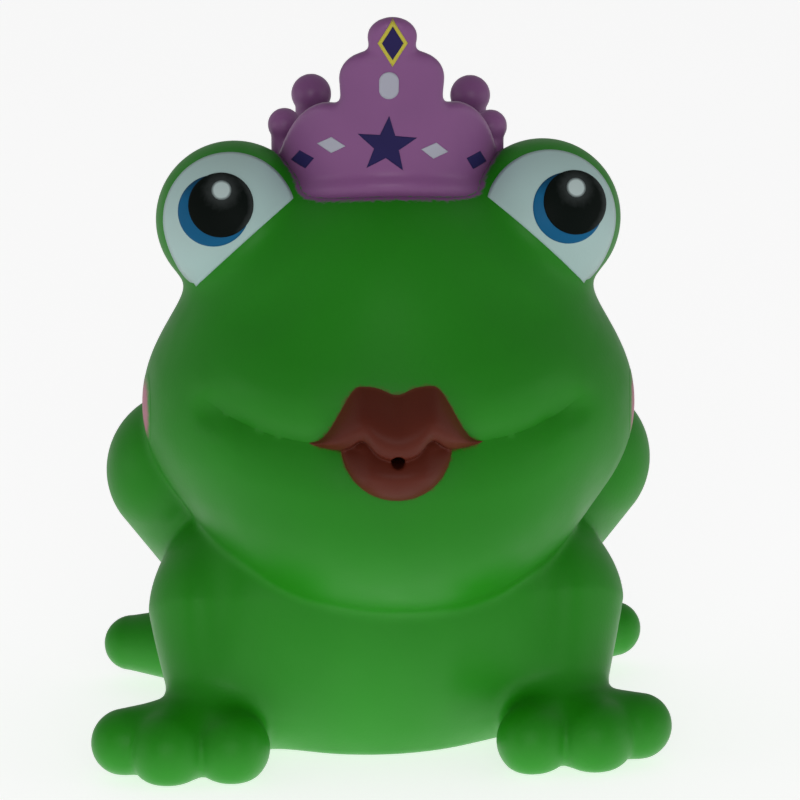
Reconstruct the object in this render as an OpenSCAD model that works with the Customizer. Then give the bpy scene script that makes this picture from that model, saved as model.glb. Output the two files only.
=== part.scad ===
// Squeaky bath toy: a sitting frog of soft hollow vinyl with a crown, painted eyes and a squeaker in its base.
// Millimetres. +Z is up, the frog faces -Y, and the origin lies on the floor under the middle of the toy.
// The soft shapes are distance fields: each field is negative inside its shape and grows by 1 per millimetre.

/* [Head] */
// Width across the cheeks
head_w = 60.4; // [56:0.2:66]
// Depth from face to nape
head_d = 51; // [47:0.5:55]
// Height of the main round of the head
head_h = 43; // [40:0.5:47]
// Height of the head's middle above the floor
head_z = 42; // [40:0.5:46]
// Width of the forehead's round
brow_w = 32; // [28:0.5:36]
// Depth of the forehead's round
brow_d = 36; // [32:0.5:40]
// Height of the forehead's round
brow_h = 30; // [27:0.5:33]
// Height of the forehead's middle above the head's middle
brow_rise = 14; // [12:0.5:16]
// Width of the chin's round
chin_w = 41; // [36:0.5:46]
// Depth of the chin's round
chin_d = 37; // [33:0.5:41]
// Height of the chin's round
chin_h = 27.2; // [24:0.2:30]
// Depth of the chin's middle below the head's middle
chin_drop = 11.2; // [9:0.2:13]
// Diameter of an eye bulge
eye_d = 18.8; // [17:0.2:20]
// Distance between the middles of the eyes
eye_spread = 37; // [35:0.5:40]
// Height of the eyes above the head's middle
eye_rise = 22.4; // [21:0.2:24]
// Turn of the head away from straight ahead, in degrees
head_turn = 1.2; // [0:0.1:5]
// How far the head sits to one side of the body
head_shift = 0.8; // [0:0.1:2]

/* [Mouth] */
// Width of the smile between its corners
smile_w = 44; // [38:0.5:48]
// Height of the smile's corners above its middle
smile_lift = 5.1; // [3:0.1:7]
// Radius of the smile's groove
smile_r = 1.2; // [0.8:0.1:1.6]
// Width of the lips
lips_w = 18.6; // [16:0.2:21]
// Height of the lips
lips_h = 13.8; // [12:0.2:16]
// Depth of the lips from their front to inside the face
lips_d = 10; // [9:0.2:12]
// Diameter of the jet hole between the lips
jet_d = 1.6; // [1:0.1:2.4]

/* [Body] */
// Width of the belly
torso_w = 51; // [46:0.5:56]
// Depth of the belly
torso_d = 44; // [40:0.5:48]
// Height of the belly's round
torso_h = 48; // [44:0.5:52]
// Height of the belly's middle above the floor
torso_z = 17.5; // [16:0.5:19]
// Radius of a front leg at the shoulder
leg_r = 8.9; // [8:0.1:9.8]
// Radius of a front leg at the ankle
ankle_r = 5.2; // [4.6:0.1:6]
// Radius of a knee
knee_r = 9.6; // [8.6:0.1:10.4]
// Radius of a haunch where it meets the floor side
haunch_r = 8.2; // [7.4:0.1:9]
// Radius of a middle or inner front toe's tip
toe_r = 4.6; // [4:0.1:5]
// Radius of an outer front toe's tip
outer_toe_r = 4.2; // [3.6:0.1:4.6]
// Radius of a front toe's root
toe_root_r = 5.2; // [4.6:0.1:5.8]
// Radius of a hind foot's tip
hind_r = 3.5; // [3:0.1:4]
// Radius of a hind foot's root
hind_root_r = 6.4; // [5.6:0.1:7.2]

/* [Crown] */
// Diameter of the ring at its foot, through the middle of the wall
crown_d = 21.4; // [19:0.2:24]
// Thickness of the ring
crown_wall = 2.8; // [2.4:0.1:3.4]
// Height of the front point above the ring's foot
crown_h = 24.6; // [23:0.2:27]
// Height of the ring at its sides and back
ring_h = 6.6; // [5.5:0.1:8]
// Width of the front point's shoulders
shoulder_w = 11.3; // [10.3:0.1:12.3]
// Height of the shoulders above the ring's foot
shoulder_h = 20.4; // [19:0.2:21]
// Diameter of the front point's tip
tip_d = 4.9; // [4.5:0.1:5.5]
// Radius of the rim bead
bead_r = 1.05; // [0.9:0.05:1.3]
// Gap between the crown and the forehead
crown_gap = 0.3; // [0.25:0.01:0.4]
// Diameter of the balls at the back of the crown
ball_d = 4.8; // [4:0.1:5.2]
// Diameter of the balls at the sides of the crown
side_ball_d = 4; // [3.5:0.1:4.5]

/* [Paint] */
// Thickness of each paint film
film_t = 0.1; // [0.08:0.01:0.2]
// Gap under each paint film
film_gap = 0.05; // [0.04:0.01:0.1]
// Gap under the white of an eye
eye_gap = 0.2; // [0.15:0.01:0.3]
// Diameter of the white of an eye
white_d = 15.8; // [15:0.1:16.6]
// Distance from the white's middle to its straight lower edge
white_cut = 3.1; // [2:0.1:4]
// Diameter of an iris
iris_d = 8.4; // [7.6:0.1:9]
// Diameter of a pupil
pupil_d = 7.8; // [7:0.1:8.2]
// Diameter of a glint
glint_d = 2.2; // [1.6:0.1:3]
// Width of a cheek's pink spot
cheek_d = 9; // [7:0.2:11]
// Distance from the star's middle to its tips
star_r = 3.6; // [3:0.1:4]
// Width of the yellow lozenge
lozenge_w = 3.5; // [3:0.1:4]
// Height of the yellow lozenge
lozenge_h = 5.2; // [4.6:0.1:5.4]
// Width of the yellow lozenge's border
lozenge_rim = 0.5; // [0.4:0.05:0.7]
// Width of the pale oval
oval_w = 2.3; // [1.8:0.1:2.8]
// Height of the pale oval
oval_h = 3.3; // [2.8:0.1:3.8]
// Width of a white diamond
diamond_w = 3.3; // [2.6:0.1:3.8]
// Height of a white diamond
diamond_h = 2; // [1.6:0.1:2.4]
// Width of a blue diamond
blue_w = 2.7; // [2.2:0.1:3]
// Height of a blue diamond
blue_h = 2.2; // [1.8:0.1:2.6]

/* [Skin] */
// Thickness of the vinyl
wall = 2.5; // [2:0.1:3]
// Thickness of the vinyl under the belly
base_t = 3.6; // [3:0.1:4.5]
// Least gap between the head and the body at the neck crease
seam_gap = 0.3; // [0.25:0.01:0.4]

/* [Squeaker] */
// Diameter of the squeaker's barrel
barrel_d = 12.6; // [11:0.1:14]
// Wall of the squeaker's barrel
barrel_wall = 1.2; // [1:0.1:1.4]
// Height of the squeaker above its flange
barrel_h = 11; // [10.5:0.1:12]
// Diameter of the flange in the base
flange_d = 17; // [16.5:0.1:19]
// Thickness of the flange
flange_t = 1; // [0.8:0.1:1.3]
// How far the snap ring stands out from the barrel
snap_out = 0.7; // [0.5:0.1:1]
// Height of the snap ring
snap_h = 1; // [0.8:0.1:1.2]
// Diameter of the air holes
vent_d = 3; // [2:0.1:3.6]
// Thickness of the cap's disc
cap_t = 1; // [0.8:0.1:1.4]
// Width of the reed
reed_w = 4.2; // [3.6:0.1:4.8]
// Length of the reed
reed_l = 6.6; // [6:0.1:7]
// Thickness of the reed
reed_t = 0.3; // [0.2:0.02:0.36]
// Height of the clamp on the reed's root
clamp_h = 2.4; // [2:0.1:2.8]
// Clearance between the reed and its clamp
reed_gap = 0.15; // [0.13:0.01:0.2]
// Clearance between squeaker pieces, and around the squeaker in the vinyl
fit_gap = 0.1; // [0.08:0.01:0.15]

/* [Hidden] */

vinyl_green = [0.16, 0.5, 0.13];
crown_purple = [0.49, 0.3, 0.52];
lip_red = [0.46, 0.16, 0.11];
eye_ivory = [0.86, 0.91, 0.9];
iris_blue = [0.08, 0.33, 0.5];
pupil_black = [0.04, 0.07, 0.06];
cheek_pink = [0.75, 0.45, 0.52];
star_blue = [0.15, 0.14, 0.36];
lozenge_yellow = [0.78, 0.72, 0.24];
oval_pale = [0.78, 0.76, 0.84];
squeaker_white = [0.88, 0.88, 0.85];
reed_brass = [0.75, 0.6, 0.25];

// Mesh pitch of the large skins, of the air chamber, of the crown and of the lips
skin_pitch = 2.6;
chamber_pitch = 4;
crown_pitch = 1.2;
lips_pitch = 0.95;
// Overrun of every cut
overrun = 1;
// Half of a meshed box, as a share of the piece's size
reach_share = 0.7;
// How far a grid reaches past its box, and the step that measures a field's slope, as shares of the pitch
margin_share = 1.5;
probe_share = 0.05;
smooth = 48;
toe_smooth = 16;
smile_smooth = 8;
// Pieces of the smile's groove, and halvings that find the face's surface
smile_pieces = 12;
halvings = 16;

// How far forward of the origin each round lies
head_y = 0.2;
brow_y = -0.3;
chin_y = -6.3;
eye_y = -0.3;
torso_y = 4.2;

// Radii that blend one round into the next
face_blend = 6;
eye_blend = 2;
crown_seat_blend = 5;
leg_blend = 8;
haunch_blend = 2;
chamber_round = 0.8;
crease_blend = 1.5;
lip_blend = 1.4;
lip_part = 0.5;
crown_round = 1.4;
bead_blend = 0.4;
point_blend = 1.4;

// Middles and half sizes of the head's rounds
head_c = [0, head_y, head_z];
head_half = [head_w, head_d, head_h] / 2;
brow_c = [0, brow_y, head_z + brow_rise];
brow_half = [brow_w, brow_d, brow_h] / 2;
chin_c = [0, chin_y, head_z - chin_drop];
chin_half = [chin_w, chin_d, chin_h] / 2;
eye_c = [eye_spread / 2, eye_y, head_z + eye_rise];
eye_r = eye_d / 2;

// Middle and half size of the belly, and places on it as shares of that half size
torso_c = [0, torso_y, torso_z];
torso_half = [torso_w, torso_d, torso_h] / 2;
shoulder_share = [0.77, -0.39, -0.04];
ankle_share = [0.82, -0.66, -0.52];
knee_share = [0.94, 0.18, 0.6];
haunch_share = [0.5, 0.5, -0.2];
toe_root_shares = [[0.82, -0.7], [0.86, -0.75], [0.8, -0.75]];
toe_tip_shares = [[1.21, -0.9], [1, -1.01], [0.7, -1.01]];
hind_root_share = [0.62, 0.66];
hind_tip_share = [1.21, 0.89];
// How much farther back one side of the body stands than the other, per millimetre across
stance_share = 0.08;
// Share of a toe's radius that the floor cuts off
toe_flat_share = 0.14;
// How far the outer front toes and the hind feet are lifted at their tips
outer_toe_lift = 0.6;
hind_lift = 2.1;
// How far the front legs and the hind feet sit to one side of the belly
leg_shift = 0.9;
hind_shift = -0.5;
toe_tip_rs = [outer_toe_r, toe_r, toe_r];
toe_lifts = [outer_toe_lift, 0, 0];

// The lips' middle, as shares of the head's depth and height, and places and radii as shares of the lips' own sizes
lips_y_share = -0.473;
lips_z_share = -0.017;
lips_c = [0, head_y + lips_y_share * head_d, head_z + lips_z_share * head_h];
lobe_share = [0.14, -0.1, 0.29];
lobe_end_share = [0.355, 0.02, 0.19];
corner_share = [0.32, 0, 0.16];
corner_end_share = [0.484, 0.12, 0.124];
bow_share = [0, -0.16, 0.19];
bow_half_share = [0.14, 0.44, 0.19];
pout_share = [0, -0.02, -0.175];
pout_half_share = [0.344, 0.52, 0.285];
lobe_r_share = 0.285;
lobe_end_r_share = 0.16;
corner_r_share = 0.14;
corner_end_r_share = 0.05;

// The crown's middle, its foot on the forehead, and its lean outward per millimetre of height
crown_y = 3.4;
crown_drop = 5;
crown_z = brow_c.z + brow_half.z - crown_drop;
crown_lean_share = 0.19;
// How much higher the ring's upper edge and its bead lie at the front than at the sides
front_rise = 7.2;
bead_rise = 2.7;
bead_h = 1.3;
// Directions between which the ring's upper edge falls from its front height to its side height
edge_front_turn = 33;
edge_side_turn = 88;
shoulder_round = 3.7;
post_h = 5;
post_share = 0.8;
// Direction and height above the ring's foot of the side, back and rear balls, and the twist of them all
ball_twist = 5;
side_ball_turn = 90;
side_ball_h = 9;
back_ball_turn = 131;
back_ball_h = 11.3;
rear_ball_turn = 180;
rear_ball_h = 12.2;
balls = [[side_ball_turn, side_ball_h, side_ball_d / 2], [back_ball_turn, back_ball_h, ball_d / 2],
    [rear_ball_turn, rear_ball_h, ball_d / 2]];

// Print pads press the eyes' paint on from the front, tilted up by this angle
pad_tilt = 13.6;
// Places of the eye's paint across the bulge, as shares of its radius: across, then up
white_share = [0.06, -0.02];
white_edge_turn = 40;
iris_share = [0.26, 0.07];
pupil_shift_share = [0.09, 0.07];
glint_shift_share = [0.01, 0.18];
// Place of a cheek's spot, as shares of the head's half depth and half height
cheek_share = [-0.1, 0];
cheek_rings = 4;
cheek_sides = 24;
// Heights of the crown's ornaments, as shares of the crown's height, and places across as shares of its foot;
// the print is a little askew, as its tilts in degrees and its two sides show
lozenge_z_share = 0.88;
oval_x_share = -0.04;
oval_z_share = 0.67;
star_x_share = -0.055;
star_z_share = 0.37;
star_tilt = -4;
star_waist_share = 0.42;
star_points = 5;
diamond_x_shares = [-0.66, 0.475];
diamond_z_shares = [0.36, 0.335];
diamond_tilts = [0, -10];
blue_x_shares = [-0.97, 0.96];
blue_z_shares = [0.265, 0.255];
blue_tilts = [17, -22];

// The squeaker stands under the belly's middle
squeak_y = torso_y;
flange_z = fit_gap;
barrel_z = flange_z + flange_t;
barrel_r = barrel_d / 2;
bore_r = barrel_r - barrel_wall;
block_r = bore_r - fit_gap;
block_z = barrel_z + fit_gap;
cap_z = barrel_z + barrel_h + fit_gap;
cap_spigot_h = 1.4;
block_h = cap_z - cap_spigot_h - fit_gap - block_z;
reed_z = block_z + fit_gap;
reed_face = reed_t / 2 + reed_gap;
// Hollow behind the reed's free end, and channel that feeds it
swing_d = 0.9;
channel_w = 2.6;
channel_d = 1.6;
snap_z = base_t + fit_gap;

// Distance fields

function smooth_min(a, b, k) = min(a, b) - pow(max(k - abs(a - b), 0), 2) / (4 * k);
function smooth_max(a, b, k) = -smooth_min(-a, -b, k);
function times(a, b) = [a.x * b.x, a.y * b.y, a.z * b.z];
function over(a, b) = [a.x / b.x, a.y / b.y, a.z / b.z];
function mirrored(p) = [abs(p.x), p.y, p.z];

function ellipsoid(p, middle, half) =
    let (u = over(p - middle, half), n = norm(u))
    n == 0 ? -min(half) : n * (n - 1) / norm(over(u, half));

function tapered(p, a, b, a_r, b_r) =
    let (run = b - a, t = max(0, min(1, (p - a) * run / (run * run))))
    norm(p - a - t * run) - a_r - (b_r - a_r) * t;

// A place on the whole toy, as the shifted and turned head sees it
function turned(p) =
    let (x = p.x - head_shift)
    [x * cos(head_turn) + p.y * sin(head_turn), p.y * cos(head_turn) - x * sin(head_turn), p.z];

function straight_head_field(p, fillet = eye_blend) =
    let (
        q = mirrored(p),
        round = ellipsoid(q, head_c, head_half),
        browed = smooth_min(round, ellipsoid(q, brow_c, brow_half), face_blend),
        chinned = smooth_min(browed, ellipsoid(q, chin_c, chin_half), face_blend)
    )
    smooth_min(chinned, norm(q - eye_c) - eye_r, fillet);

function head_field(p) = straight_head_field(turned(p));

function body_place(share) = torso_c + times(share, torso_half);

function body_field(p) =
    let (
        q = [abs(p.x), p.y - stance_share * p.x, p.z],
        belly = ellipsoid(q, torso_c, torso_half),
        leg_q = [abs(p.x - leg_shift), q.y, p.z],
        leg = tapered(leg_q, body_place(shoulder_share), body_place(ankle_share), leg_r, ankle_r),
        haunch = tapered(q, body_place(knee_share), body_place(haunch_share), knee_r, haunch_r)
    )
    smooth_min(smooth_min(belly, leg, leg_blend), haunch, haunch_blend);

function skin_field(p) = smooth_min(head_field(p), body_field(p), crease_blend);
function chamber_field(p) = smooth_max(skin_field(p) + wall, base_t - p.z, chamber_round);
function head_part_field(p) = max(skin_field(p), head_field(p) - body_field(p) + seam_gap);
function body_part_field(p) = max(skin_field(p), body_field(p) - head_field(p) + seam_gap);

function lip_place(share) = lips_c + times(share, [lips_w, lips_d, lips_h]);

function lips_field(p) =
    let (
        q = mirrored(p),
        lobe = tapered(q, lip_place(lobe_share), lip_place(lobe_end_share), lobe_r_share * lips_h,
            lobe_end_r_share * lips_h),
        corner = tapered(q, lip_place(corner_share), lip_place(corner_end_share), corner_r_share * lips_h,
            corner_end_r_share * lips_h),
        bow = ellipsoid(q, lip_place(bow_share), times(bow_half_share, [lips_w, lips_d, lips_h])),
        pout = ellipsoid(q, lip_place(pout_share), times(pout_half_share, [lips_w, lips_d, lips_h])),
        upper = smooth_min(smooth_min(lobe, corner, lip_blend), bow, lip_blend),
        both = smooth_min(upper, pout, lip_part)
    )
    smooth_max(both, film_gap - straight_head_field(p), lip_part);

function ring_radius(z) = crown_d / 2 + crown_lean_share * (z - crown_z);
function front_share(turn) = turn < 90 ? pow(cos(turn), 2) : 0;
function ease(t) = let (s = max(0, min(1, t))) s * s * (3 - 2 * s);
function edge_rise(turn) = front_rise * ease((edge_side_turn - turn) / (edge_side_turn - edge_front_turn));

// Place on the middle of the crown's wall, at a turn away from the front
function ring_place(turn, z) = [ring_radius(z) * sin(turn), crown_y - ring_radius(z) * cos(turn), z];

// Front point's outline, with the distance along the ring as its first coordinate
function point_field(along, z) =
    let (
        side = [along - shoulder_w / 2 + shoulder_round, z - crown_z - shoulder_h + shoulder_round],
        outside = norm([max(side.x, 0), max(side.y, 0)]),
        shoulders = outside + min(max(side.x, side.y), 0) - shoulder_round,
        tip = norm([along, z - crown_z - crown_h + tip_d / 2]) - tip_d / 2
    )
    smooth_min(shoulders, tip, point_blend);

function ball_field(p, ball, side) =
    let (middle = ring_place(side * ball[0] - ball_twist, crown_z + ball[1]), post = post_share * ball[2])
    min(norm(p - middle) - ball[2], tapered(p, middle - [0, 0, post_h], middle, post, post));

function crown_field(p) =
    let (
        q = mirrored(p),
        turn = atan2(q.x, crown_y - q.y),
        out = norm([q.x, q.y - crown_y]),
        along = turn / 180 * PI * ring_radius(crown_z + shoulder_h / 2),
        edge = p.z - crown_z - ring_h - edge_rise(turn),
        outline = smooth_min(point_field(along, p.z), edge, point_blend),
        plate = smooth_max(abs(out - ring_radius(p.z)) - crown_wall / 2, outline, crown_round),
        bead_z = crown_z + bead_h + bead_rise * front_share(turn),
        bead = norm([out - ring_radius(bead_z) - crown_wall / 2, p.z - bead_z]) - bead_r,
        ring = smooth_min(plate, bead, bead_blend),
        pointed = min([for (ball = balls) for (side = [-1, 1]) ball_field(p, ball, side)]),
        whole = smooth_min(ring, pointed, crown_round)
    )
    smooth_max(whole, crown_gap - straight_head_field(p, crown_seat_blend), lip_part);

// Meshing of a field: one point in each grid cell that the surface crosses, joined across each crossed edge

cell_corners = [for (a = [0, 1]) for (b = [0, 1]) for (c = [0, 1]) [a, b, c]];
cell_edges = [for (a = [0:7]) for (bit = [1, 2, 4]) if (floor(a / bit) % 2 == 0) [a, a + bit]];
face_sides = [for (s = [-1, 1]) for (t = [-1, 1]) each [[[s, 0, 0], [0, t, 0]], [[0, s, 0], [0, 0, t]],
    [[s, 0, 0], [0, 0, t]]]];

function total(list) = [for (item = list) 1] * list;
function slope(f, p, e) = [f(p + [e, 0, 0]) - f(p - [e, 0, 0]), f(p + [0, e, 0]) - f(p - [0, e, 0]),
    f(p + [0, 0, e]) - f(p - [0, 0, e])] / (2 * e);
function settled(f, p, e) = let (g = slope(f, p, e)) p - f(p) * g / (g * g);
function running_count(flags) = [for (n = 0, c = 0; n < len(flags); c = c + flags[n], n = n + 1) c];
function split_quad(q, inward) =
    inward ? [[q[0], q[2], q[1]], [q[0], q[3], q[2]]] : [[q[0], q[1], q[2]], [q[0], q[2], q[3]]];

// The grid reaches past the box, which holds the whole shape, by more than a pitch on every side
module field_solid(f, low, high, pitch) {
    start = low - margin_share * pitch * [1, 1, 1];
    count = [for (i = [0:2]) ceil((high[i] - low[i]) / pitch + 2 * margin_share)];
    sample = [for (i = [0:count.x]) [for (j = [0:count.y]) [for (k = [0:count.z]) f(start + pitch * [i, j, k])]]];
    function raw(c) = sample[c.x][c.y][c.z];
    // A corner pinches the surface where it and its diagonal partner differ in sign from both other corners
    function pinches(c, v) = len([for (s = face_sides)
        let (a = raw(c + s[0]), b = raw(c + s[1]), d = raw(c + s[0] + s[1]))
        if ((v < 0) == (d < 0) && (a < 0) == (b < 0) && (a < 0) != (v < 0) && abs(v) <= min(abs(a), abs(b), abs(d)))
            1]) > 0;
    value = [for (i = [0:count.x]) [for (j = [0:count.y]) [for (k = [0:count.z])
        let (v = sample[i][j][k]) abs(v) < pitch && pinches([i, j, k], v) ? -v : v]]];
    cells = [for (i = [0:count.x - 1]) for (j = [0:count.y - 1]) for (k = [0:count.z - 1]) [i, j, k]];
    function at(c) = value[c.x][c.y][c.z];
    crossed = [for (c = cells)
        let (inside = total([for (o = cell_corners) at(c + o) < 0 ? 1 : 0])) inside > 0 && inside < 8 ? 1 : 0];
    index = running_count(crossed);
    function cell(i, j, k) = index[(i * count.y + j) * count.z + k];
    points = [for (n = [0:len(cells) - 1]) if (crossed[n] == 1)
        let (
            c = cells[n],
            w = [for (o = cell_corners) at(c + o)],
            hits = [for (e = cell_edges) if ((w[e[0]] < 0) != (w[e[1]] < 0))
                cell_corners[e[0]] + (cell_corners[e[1]] - cell_corners[e[0]]) * w[e[0]] / (w[e[0]] - w[e[1]])],
            near = start + pitch * (c + total(hits) / len(hits))
        )
        settled(f, settled(f, near, probe_share * pitch), probe_share * pitch)];
    faces = [
        for (i = [0:count.x - 1]) for (j = [1:count.y - 1]) for (k = [1:count.z - 1])
            if ((value[i][j][k] < 0) != (value[i + 1][j][k] < 0))
                each split_quad([cell(i, j - 1, k - 1), cell(i, j, k - 1), cell(i, j, k), cell(i, j - 1, k)],
                    value[i][j][k] < 0),
        for (i = [1:count.x - 1]) for (j = [0:count.y - 1]) for (k = [1:count.z - 1])
            if ((value[i][j][k] < 0) != (value[i][j + 1][k] < 0))
                each split_quad([cell(i - 1, j, k - 1), cell(i - 1, j, k), cell(i, j, k), cell(i, j, k - 1)],
                    value[i][j][k] < 0),
        for (i = [1:count.x - 1]) for (j = [1:count.y - 1]) for (k = [0:count.z - 1])
            if ((value[i][j][k] < 0) != (value[i][j][k + 1] < 0))
                each split_quad([cell(i - 1, j - 1, k), cell(i, j - 1, k), cell(i, j, k), cell(i - 1, j, k)],
                    value[i][j][k] < 0)
    ];
    polyhedron(points, faces);
}

// Skins, built on the whole toy's frame

module air_chamber() {
    reach = [body_place(knee_share).x + knee_r, head_d / 2, 0];
    top = [0, torso_y, eye_c.z + eye_r - wall];
    field_solid(function(p) chamber_field(p), [0, head_y, base_t] - reach, reach + top, chamber_pitch);
}

// One foot's piece from a root to a tip, both given as shares of the belly's half size; lift raises the tip
module foot_piece(side, root, tip, root_r, tip_r, lift, shift) {
    function spot(share, r) =
        let (x = side * share.x * torso_half.x + shift)
        [x, torso_y + share.y * torso_half.y + stance_share * x, r * (1 - toe_flat_share)];
    hull() {
        translate(spot(root, root_r)) sphere(root_r, $fn = toe_smooth);
        translate(spot(tip, tip_r) + [0, 0, lift]) sphere(tip_r, $fn = toe_smooth);
    }
}

module feet() {
    for (side = [-1, 1]) {
        for (n = [0:2])
            foot_piece(side, toe_root_shares[n], toe_tip_shares[n], toe_root_r, toe_tip_rs[n], toe_lifts[n], 0);
        foot_piece(side, hind_root_share, hind_tip_share, hind_root_r, hind_r, hind_lift, hind_shift);
    }
}

module squeaker_hole() {
    translate([0, squeak_y, -overrun]) {
        cylinder(r = barrel_r + fit_gap, h = base_t + 2 * overrun, $fn = smooth);
        cylinder(r = flange_d / 2 + fit_gap, h = barrel_z + fit_gap + overrun, $fn = smooth);
    }
}

module below_floor() {
    reach = 2 * torso_w;
    translate([-reach, -reach, -reach]) cube([2 * reach, 2 * reach, reach]);
}

module jet_hole() {
    translate([0, lips_c.y + head_half.y, lips_c.z]) rotate([90, 0, 0])
        cylinder(d = jet_d, h = head_d, $fn = smooth);
}

module body_skin() {
    reach = [body_place(knee_share).x + knee_r, torso_d * reach_share, 0];
    low = [0, torso_y, torso_z - torso_half.z];
    top = [0, torso_y, torso_z + torso_half.z];
    color(vinyl_green) difference() {
        union() {
            field_solid(function(p) body_part_field(p), low - reach, top + reach, skin_pitch);
            feet();
        }
        air_chamber();
        squeaker_hole();
        below_floor();
    }
}

// Point on the face's front at a place across and up, found by halving the stretch that holds the surface
function face_y(x, z, front, back, steps) =
    let (middle = (front + back) / 2)
    steps == 0 ? middle :
    straight_head_field([x, middle, z]) < 0 ? face_y(x, z, front, middle, steps - 1)
        : face_y(x, z, middle, back, steps - 1);

function smile_point(t) =
    let (x = t * smile_w / 2, z = head_z + smile_lift * t * t - smile_r)
    [x, face_y(x, z, head_y - head_d, head_y, halvings), z];

module smile() {
    for (n = [0:smile_pieces - 1]) hull() {
        translate(smile_point(2 * n / smile_pieces - 1)) sphere(smile_r, $fn = smile_smooth);
        translate(smile_point(2 * (n + 1) / smile_pieces - 1)) sphere(smile_r, $fn = smile_smooth);
    }
}

// Moves what is built on the straight head's frame to its place on the toy
module on_head() translate([head_shift, 0, 0]) rotate([0, 0, head_turn]) children();

module head_skin() {
    reach = [head_half.x, head_half.y + face_blend / 2, 0];
    low = [head_shift, head_y, chin_c.z - chin_half.z];
    top = [head_shift, head_y, eye_c.z + eye_r];
    color(vinyl_green) difference() {
        field_solid(function(p) head_part_field(p), low - reach, top + reach, skin_pitch);
        air_chamber();
        on_head() smile();
        on_head() jet_hole();
    }
}

// Pieces on the head, built on the straight head's frame

module crown() {
    reach = ring_radius(crown_z + crown_h) + crown_wall;
    low = [-reach, crown_y - reach, crown_z - post_h];
    high = [reach, crown_y + reach, crown_z + crown_h];
    color(crown_purple) field_solid(function(p) crown_field(p), low, high, crown_pitch);
}

module lips() {
    reach = [lips_w, lips_d, lips_h] * reach_share;
    color(lip_red) field_solid(function(p) lips_field(p), lips_c - reach, lips_c + reach, lips_pitch);
}

// Thin dome over an eye bulge, at a level in the stack of films
module eye_dome(level) {
    low = eye_r + eye_gap + level * (film_t + film_gap);
    difference() {
        sphere(low + film_t, $fn = smooth);
        sphere(low, $fn = smooth);
    }
}

// Round spot of paint on one eye; place is the spot's middle, across and up
module eye_spot(side, level, d, place) {
    translate([side * eye_c.x, eye_c.y, eye_c.z]) intersection() {
        eye_dome(level);
        rotate([-pad_tilt, 0, 0]) translate([place.x, 0, place.y]) rotate([90, 0, 0])
            cylinder(d = d, h = eye_d, $fn = smooth);
    }
}

function iris_place(side) = eye_r * [side * iris_share.x, iris_share.y];
function pupil_place(side) = iris_place(side) + eye_r * pupil_shift_share;
function glint_place(side) = pupil_place(side) + eye_r * glint_shift_share;

module eye_white(side) {
    place = eye_r * [side * white_share.x, white_share.y];
    color(eye_ivory) difference() {
        eye_spot(side, 0, white_d, place);
        translate([side * eye_c.x, eye_c.y, eye_c.z]) rotate([-pad_tilt, 0, 0])
            translate([place.x, 0, place.y]) rotate([0, side * white_edge_turn, 0])
            translate([-eye_d, -2 * eye_d, -2 * eye_d - white_cut]) cube([2 * eye_d, 4 * eye_d, 2 * eye_d]);
    }
}

module iris(side) color(iris_blue) eye_spot(side, 1, iris_d, iris_place(side));
module pupil(side) color(pupil_black) eye_spot(side, 2, pupil_d, pupil_place(side));
module glint(side) color(eye_ivory) eye_spot(side, 3, glint_d, glint_place(side));

// Point above the side of the head, at a place back and up on the head's round
function cheek_point(side, back, up, level) =
    let (
        y = cheek_share.x * head_half.y + back,
        z = cheek_share.y * head_half.z + up,
        x = head_half.x * sqrt(1 - pow(y / head_half.y, 2) - pow(z / head_half.z, 2))
    )
    [side * (x + level), head_y + y, head_z + z];

module cheek(side) {
    count = cheek_rings * cheek_sides;
    function sheet(level) = [cheek_point(side, 0, 0, level),
        for (ring = [1:cheek_rings]) for (n = [0:cheek_sides - 1])
            let (r = cheek_d / 2 * ring / cheek_rings, turn = -side * 360 * n / cheek_sides)
            cheek_point(side, r * cos(turn), r * sin(turn), level)];
    function spot(ring, n) = 1 + (ring - 1) * cheek_sides + n % cheek_sides;
    top = [
        for (n = [0:cheek_sides - 1]) [0, spot(1, n), spot(1, n + 1)],
        for (ring = [1:cheek_rings - 1]) for (n = [0:cheek_sides - 1])
            each [[spot(ring, n), spot(ring + 1, n), spot(ring + 1, n + 1)],
                [spot(ring, n), spot(ring + 1, n + 1), spot(ring, n + 1)]]
    ];
    below = [for (f = top) [f[0], f[2], f[1]] + (count + 1) * [1, 1, 1]];
    rim = [for (n = [0:cheek_sides - 1])
        let (a = spot(cheek_rings, n), b = spot(cheek_rings, n + 1), low = count + 1)
        each [[a, a + low, b + low], [a, b + low, b]]];
    color(cheek_pink) polyhedron(concat(sheet(2 * film_gap + film_t), sheet(2 * film_gap)), concat(top, below, rim));
}

// Thin cone over the crown's outer face
module crown_sheet() {
    low = crown_wall / 2 + film_gap;
    foot = ring_radius(crown_z) + low;
    tip = ring_radius(crown_z + crown_h) + low;
    translate([0, crown_y, crown_z]) rotate_extrude($fn = 2 * smooth)
        polygon([[foot, 0], [foot + film_t, 0], [tip + film_t, crown_h], [tip, crown_h]]);
}

// Ornament on the crown's front: a flat outline pressed straight back onto the sheet
module ornament(across_share, height_share) {
    intersection() {
        crown_sheet();
        translate([across_share * crown_d / 2, crown_y, crown_z + height_share * crown_h]) rotate([90, 0, 0])
            linear_extrude(crown_d) children();
    }
}

module diamond(w, h) polygon([[w / 2, 0], [0, h / 2], [-w / 2, 0], [0, -h / 2]]);

module star() {
    polygon([for (n = [0:2 * star_points - 1])
        let (r = n % 2 == 0 ? star_r : star_waist_share * star_r, turn = 90 + 180 * n / star_points)
        r * [cos(turn), sin(turn)]]);
}

module crown_star() color(star_blue) ornament(star_x_share, star_z_share) rotate(star_tilt) star();

module crown_lozenge_frame() {
    color(lozenge_yellow) ornament(0, lozenge_z_share) difference() {
        diamond(lozenge_w, lozenge_h);
        offset(delta = film_gap) lozenge_field();
    }
}

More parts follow.
